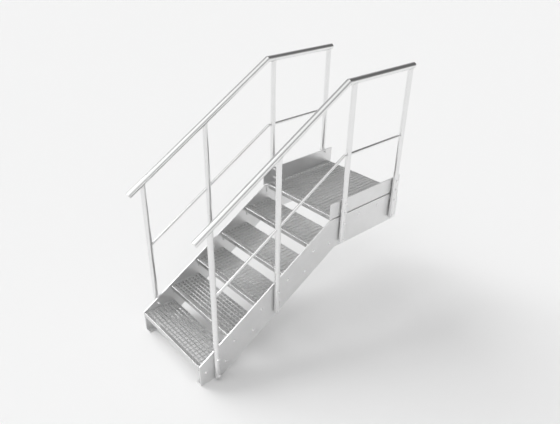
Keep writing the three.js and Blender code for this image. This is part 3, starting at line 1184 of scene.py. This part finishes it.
@dataclass
class PhotoCamera:
    """The camera at the photograph's viewing angle.

    Attributes:
        place: Where it stands.
        heading: Angle of its view from +X towards +Y, in degrees.
        dip: Angle of its view below level, in degrees.
        focal_pixels: Focal length in pixels of the photograph.
        axis_pixel: Where its axis meets the photograph.
        picture: Width and height of the photograph in pixels.
        sensor: Width of its sensor, in millimetres.
        reach: How far it sees.
    """

    place: Vector = field(default_factory=lambda: Vector((-2.5422, -2.8597, 3.06)))
    heading: float = 50.15
    dip: float = 30.18
    focal_pixels: float = 533.2
    axis_pixel: tuple[float, float] = (261.09, 221.46)
    picture: tuple[int, int] = (560, 424)
    sensor: float = 36.0
    reach: float = 200.0

    def build(self) -> None:
        """Builds the camera and makes it the scene's own."""
        data = bpy.data.cameras.new("photo_camera")
        width, height = self.picture
        data.sensor_width = self.sensor
        data.lens = self.focal_pixels / width * self.sensor
        data.shift_x = (width / 2 - self.axis_pixel[0]) / width
        data.shift_y = (self.axis_pixel[1] - height / 2) / width
        data.clip_end = self.reach
        camera = bpy.data.objects.new("photo_camera", data)
        bpy.context.scene.collection.objects.link(camera)
        heading, dip = math.radians(self.heading), math.radians(self.dip)
        level = math.cos(dip)
        view = Vector((level * math.cos(heading), level * math.sin(heading), -math.sin(dip)))
        camera.location = self.place
        camera.rotation_mode = "QUATERNION"
        camera.rotation_quaternion = view.to_track_quat("-Z", "Y")
        bpy.context.scene.camera = camera


@dataclass(frozen=True)
class SoftLamp:
    """A far, wide and soft lamp.

    Attributes:
        name: The lamp's name.
        towards: Direction from the stairs to the lamp.
        spread: Width of the lamp as seen from the stairs, in degrees.
        strength: Its strength.
    """

    name: str
    towards: tuple[float, float, float]
    spread: float
    strength: float

    def build(self, distance: float) -> None:
        """Hangs the lamp.

        Args:
            distance: How far from the stairs it hangs.
        """
        data = bpy.data.lights.new(self.name, "SUN")
        data.angle = math.radians(self.spread)
        data.energy = self.strength
        lamp = bpy.data.objects.new(self.name, data)
        lamp.visible_glossy = False
        bpy.context.scene.collection.objects.link(lamp)
        away = Vector(self.towards).normalized()
        lamp.location = away * distance
        lamp.rotation_mode = "QUATERNION"
        lamp.rotation_quaternion = (-away).to_track_quat("-Z", "Y")


@dataclass(frozen=True)
class GlowPatch:
    """A part of the surroundings that is brighter or dimmer than the rest.

    Attributes:
        towards: Direction from the stairs to its middle.
        share: How many times the plain level its middle is.
        turn: Cosine of the angle from its middle where it starts, and where it reaches its full share.
    """

    towards: tuple[float, float, float]
    share: float
    turn: tuple[float, float]

    def factor(self, tree: Tree, where: Socket) -> Socket:
        """Factor of the plain level in the direction looked at, which fades from 1 to the share."""
        nearness = likeness(tree, where, Vector(self.towards).normalized())
        return map_range(tree, nearness, self.turn, (1.0, self.share), "SMOOTHSTEP")


@dataclass
class Studio:
    """Floor, lamp and surroundings.

    Attributes:
        floor_reach: Half the width of the floor, and how far away the lamp hangs.
        lamp: The lamp, which no mirror shows.
        backdrop_level: Brightness of the plain backdrop.
        plain_level: Brightness of the surroundings away from the patches that follow.
    """

    floor_reach: float = 60.0
    lamp: SoftLamp = SoftLamp("side_lamp", (-0.15, 0.82, 0.55), 42.0, 1.6)
    backdrop_level: float = 0.9
    plain_level: float = 0.465
    overhead: GlowPatch = GlowPatch((-0.45, -0.35, 0.82), 2.2, (0.62, 0.88))
    overhead_core: GlowPatch = GlowPatch((-0.33, -0.13, 0.93), 1.6, (0.98, 0.992))
    front_left: GlowPatch = GlowPatch((-0.62, 0.5, 0.6), 1.6, (0.78, 0.92))
    front_left_core: GlowPatch = GlowPatch((-0.42, 0.67, 0.61), 6.5, (0.975, 0.99))
    wall_end: GlowPatch = GlowPatch((0.8, -0.22, 0.56), 0.3, (0.7, 0.98))

    def build(self) -> None:
        """Builds the floor, the lamp and the world."""
        self._floor()
        self.lamp.build(self.floor_reach)
        self._world()
        bpy.context.scene.view_settings.view_transform = "Standard"
        LOG.info("built the studio")

    def _floor(self) -> None:
        """Lays the floor under the stairs."""
        reach = self.floor_reach
        data = bpy.data.meshes.new("studio_floor")
        corners = [(-reach, -reach, 0.0), (reach, -reach, 0.0), (reach, reach, 0.0), (-reach, reach, 0.0)]
        data.from_pydata(corners, [], [(0, 1, 2, 3)])
        data.materials.append(PaleFloor().material())
        floor = bpy.data.objects.new("studio_floor", data)
        bpy.context.scene.collection.objects.link(floor)

    def _world(self) -> None:
        """Makes surroundings with bright patches and a dim one, behind a plain pale backdrop."""
        world = bpy.data.worlds.new("studio_surroundings")
        bpy.context.scene.world = world
        world.use_nodes = True
        tree = world.node_tree
        tree.nodes.clear()
        where = tree.nodes.new("ShaderNodeTexCoord").outputs["Generated"]
        glow, backdrop = (tree.nodes.new("ShaderNodeBackground") for _ in range(2))
        for shader in (glow, backdrop):
            shader.inputs["Color"].default_value = WHITE
        level = self.plain_level
        brighter = (self.overhead, self.overhead_core, self.front_left, self.front_left_core)
        for patch in (*brighter, self.wall_end):
            level = product(tree, level, patch.factor(tree, where))
        tree.links.new(level, glow.inputs["Strength"])
        backdrop.inputs["Strength"].default_value = self.backdrop_level
        ray = tree.nodes.new("ShaderNodeLightPath")
        choice = tree.nodes.new("ShaderNodeMixShader")
        tree.links.new(ray.outputs["Is Camera Ray"], choice.inputs["Fac"])
        tree.links.new(glow.outputs["Background"], choice.inputs[1])
        tree.links.new(backdrop.outputs["Background"], choice.inputs[2])
        result = tree.nodes.new("ShaderNodeOutputWorld")
        tree.links.new(choice.outputs["Shader"], result.inputs["Surface"])


def build_railing(side: Side, finishes: Finishes) -> None:
    """Builds the posts and rails of one side.

    Args:
        side: The side.
        finishes: The materials.
    """
    word = side.word
    hand_nodes = (f"handrail_flight_{word}", f"handrail_landing_{word}")
    mid_nodes = (f"mid_rail_flight_{word}", f"mid_rail_landing_{word}")
    handrail = RailLine.from_nodes(*hand_nodes)
    mid_rail = RailLine.from_nodes(*mid_nodes)
    Rail(f"handrail_{word}", handrail, finishes, hand_nodes).build()
    Rail(f"mid_rail_{word}", mid_rail, finishes, mid_nodes, steps=40, closed_ends=False, bead=0.0011).build()
    for number in POSTS:
        Post(f"post_{number}_{word}", handrail, mid_rail, finishes).build()


def main() -> None:
    """Builds the dressed stairs, the studio and the camera."""
    logging.basicConfig(level=logging.INFO, format="%(message)s")
    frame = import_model()
    finishes = Finishes()
    PlateWork(finishes).dress(frame["nodes"])
    for step in TREADS:
        MeshPanel(f"tread_{step}_grating", finishes).build()
        NosingAngle(f"tread_{step}_nosing", finishes).build()
    MeshPanel("landing_grating", finishes).build()
    NosingAngle("landing_nosing", finishes).build()
    for side in Side:
        build_railing(side, finishes)
    for side in Side:
        BoltWork(side, finishes).build()
    Studio().build()
    PhotoCamera().build()


if __name__ == "__main__":
    main()
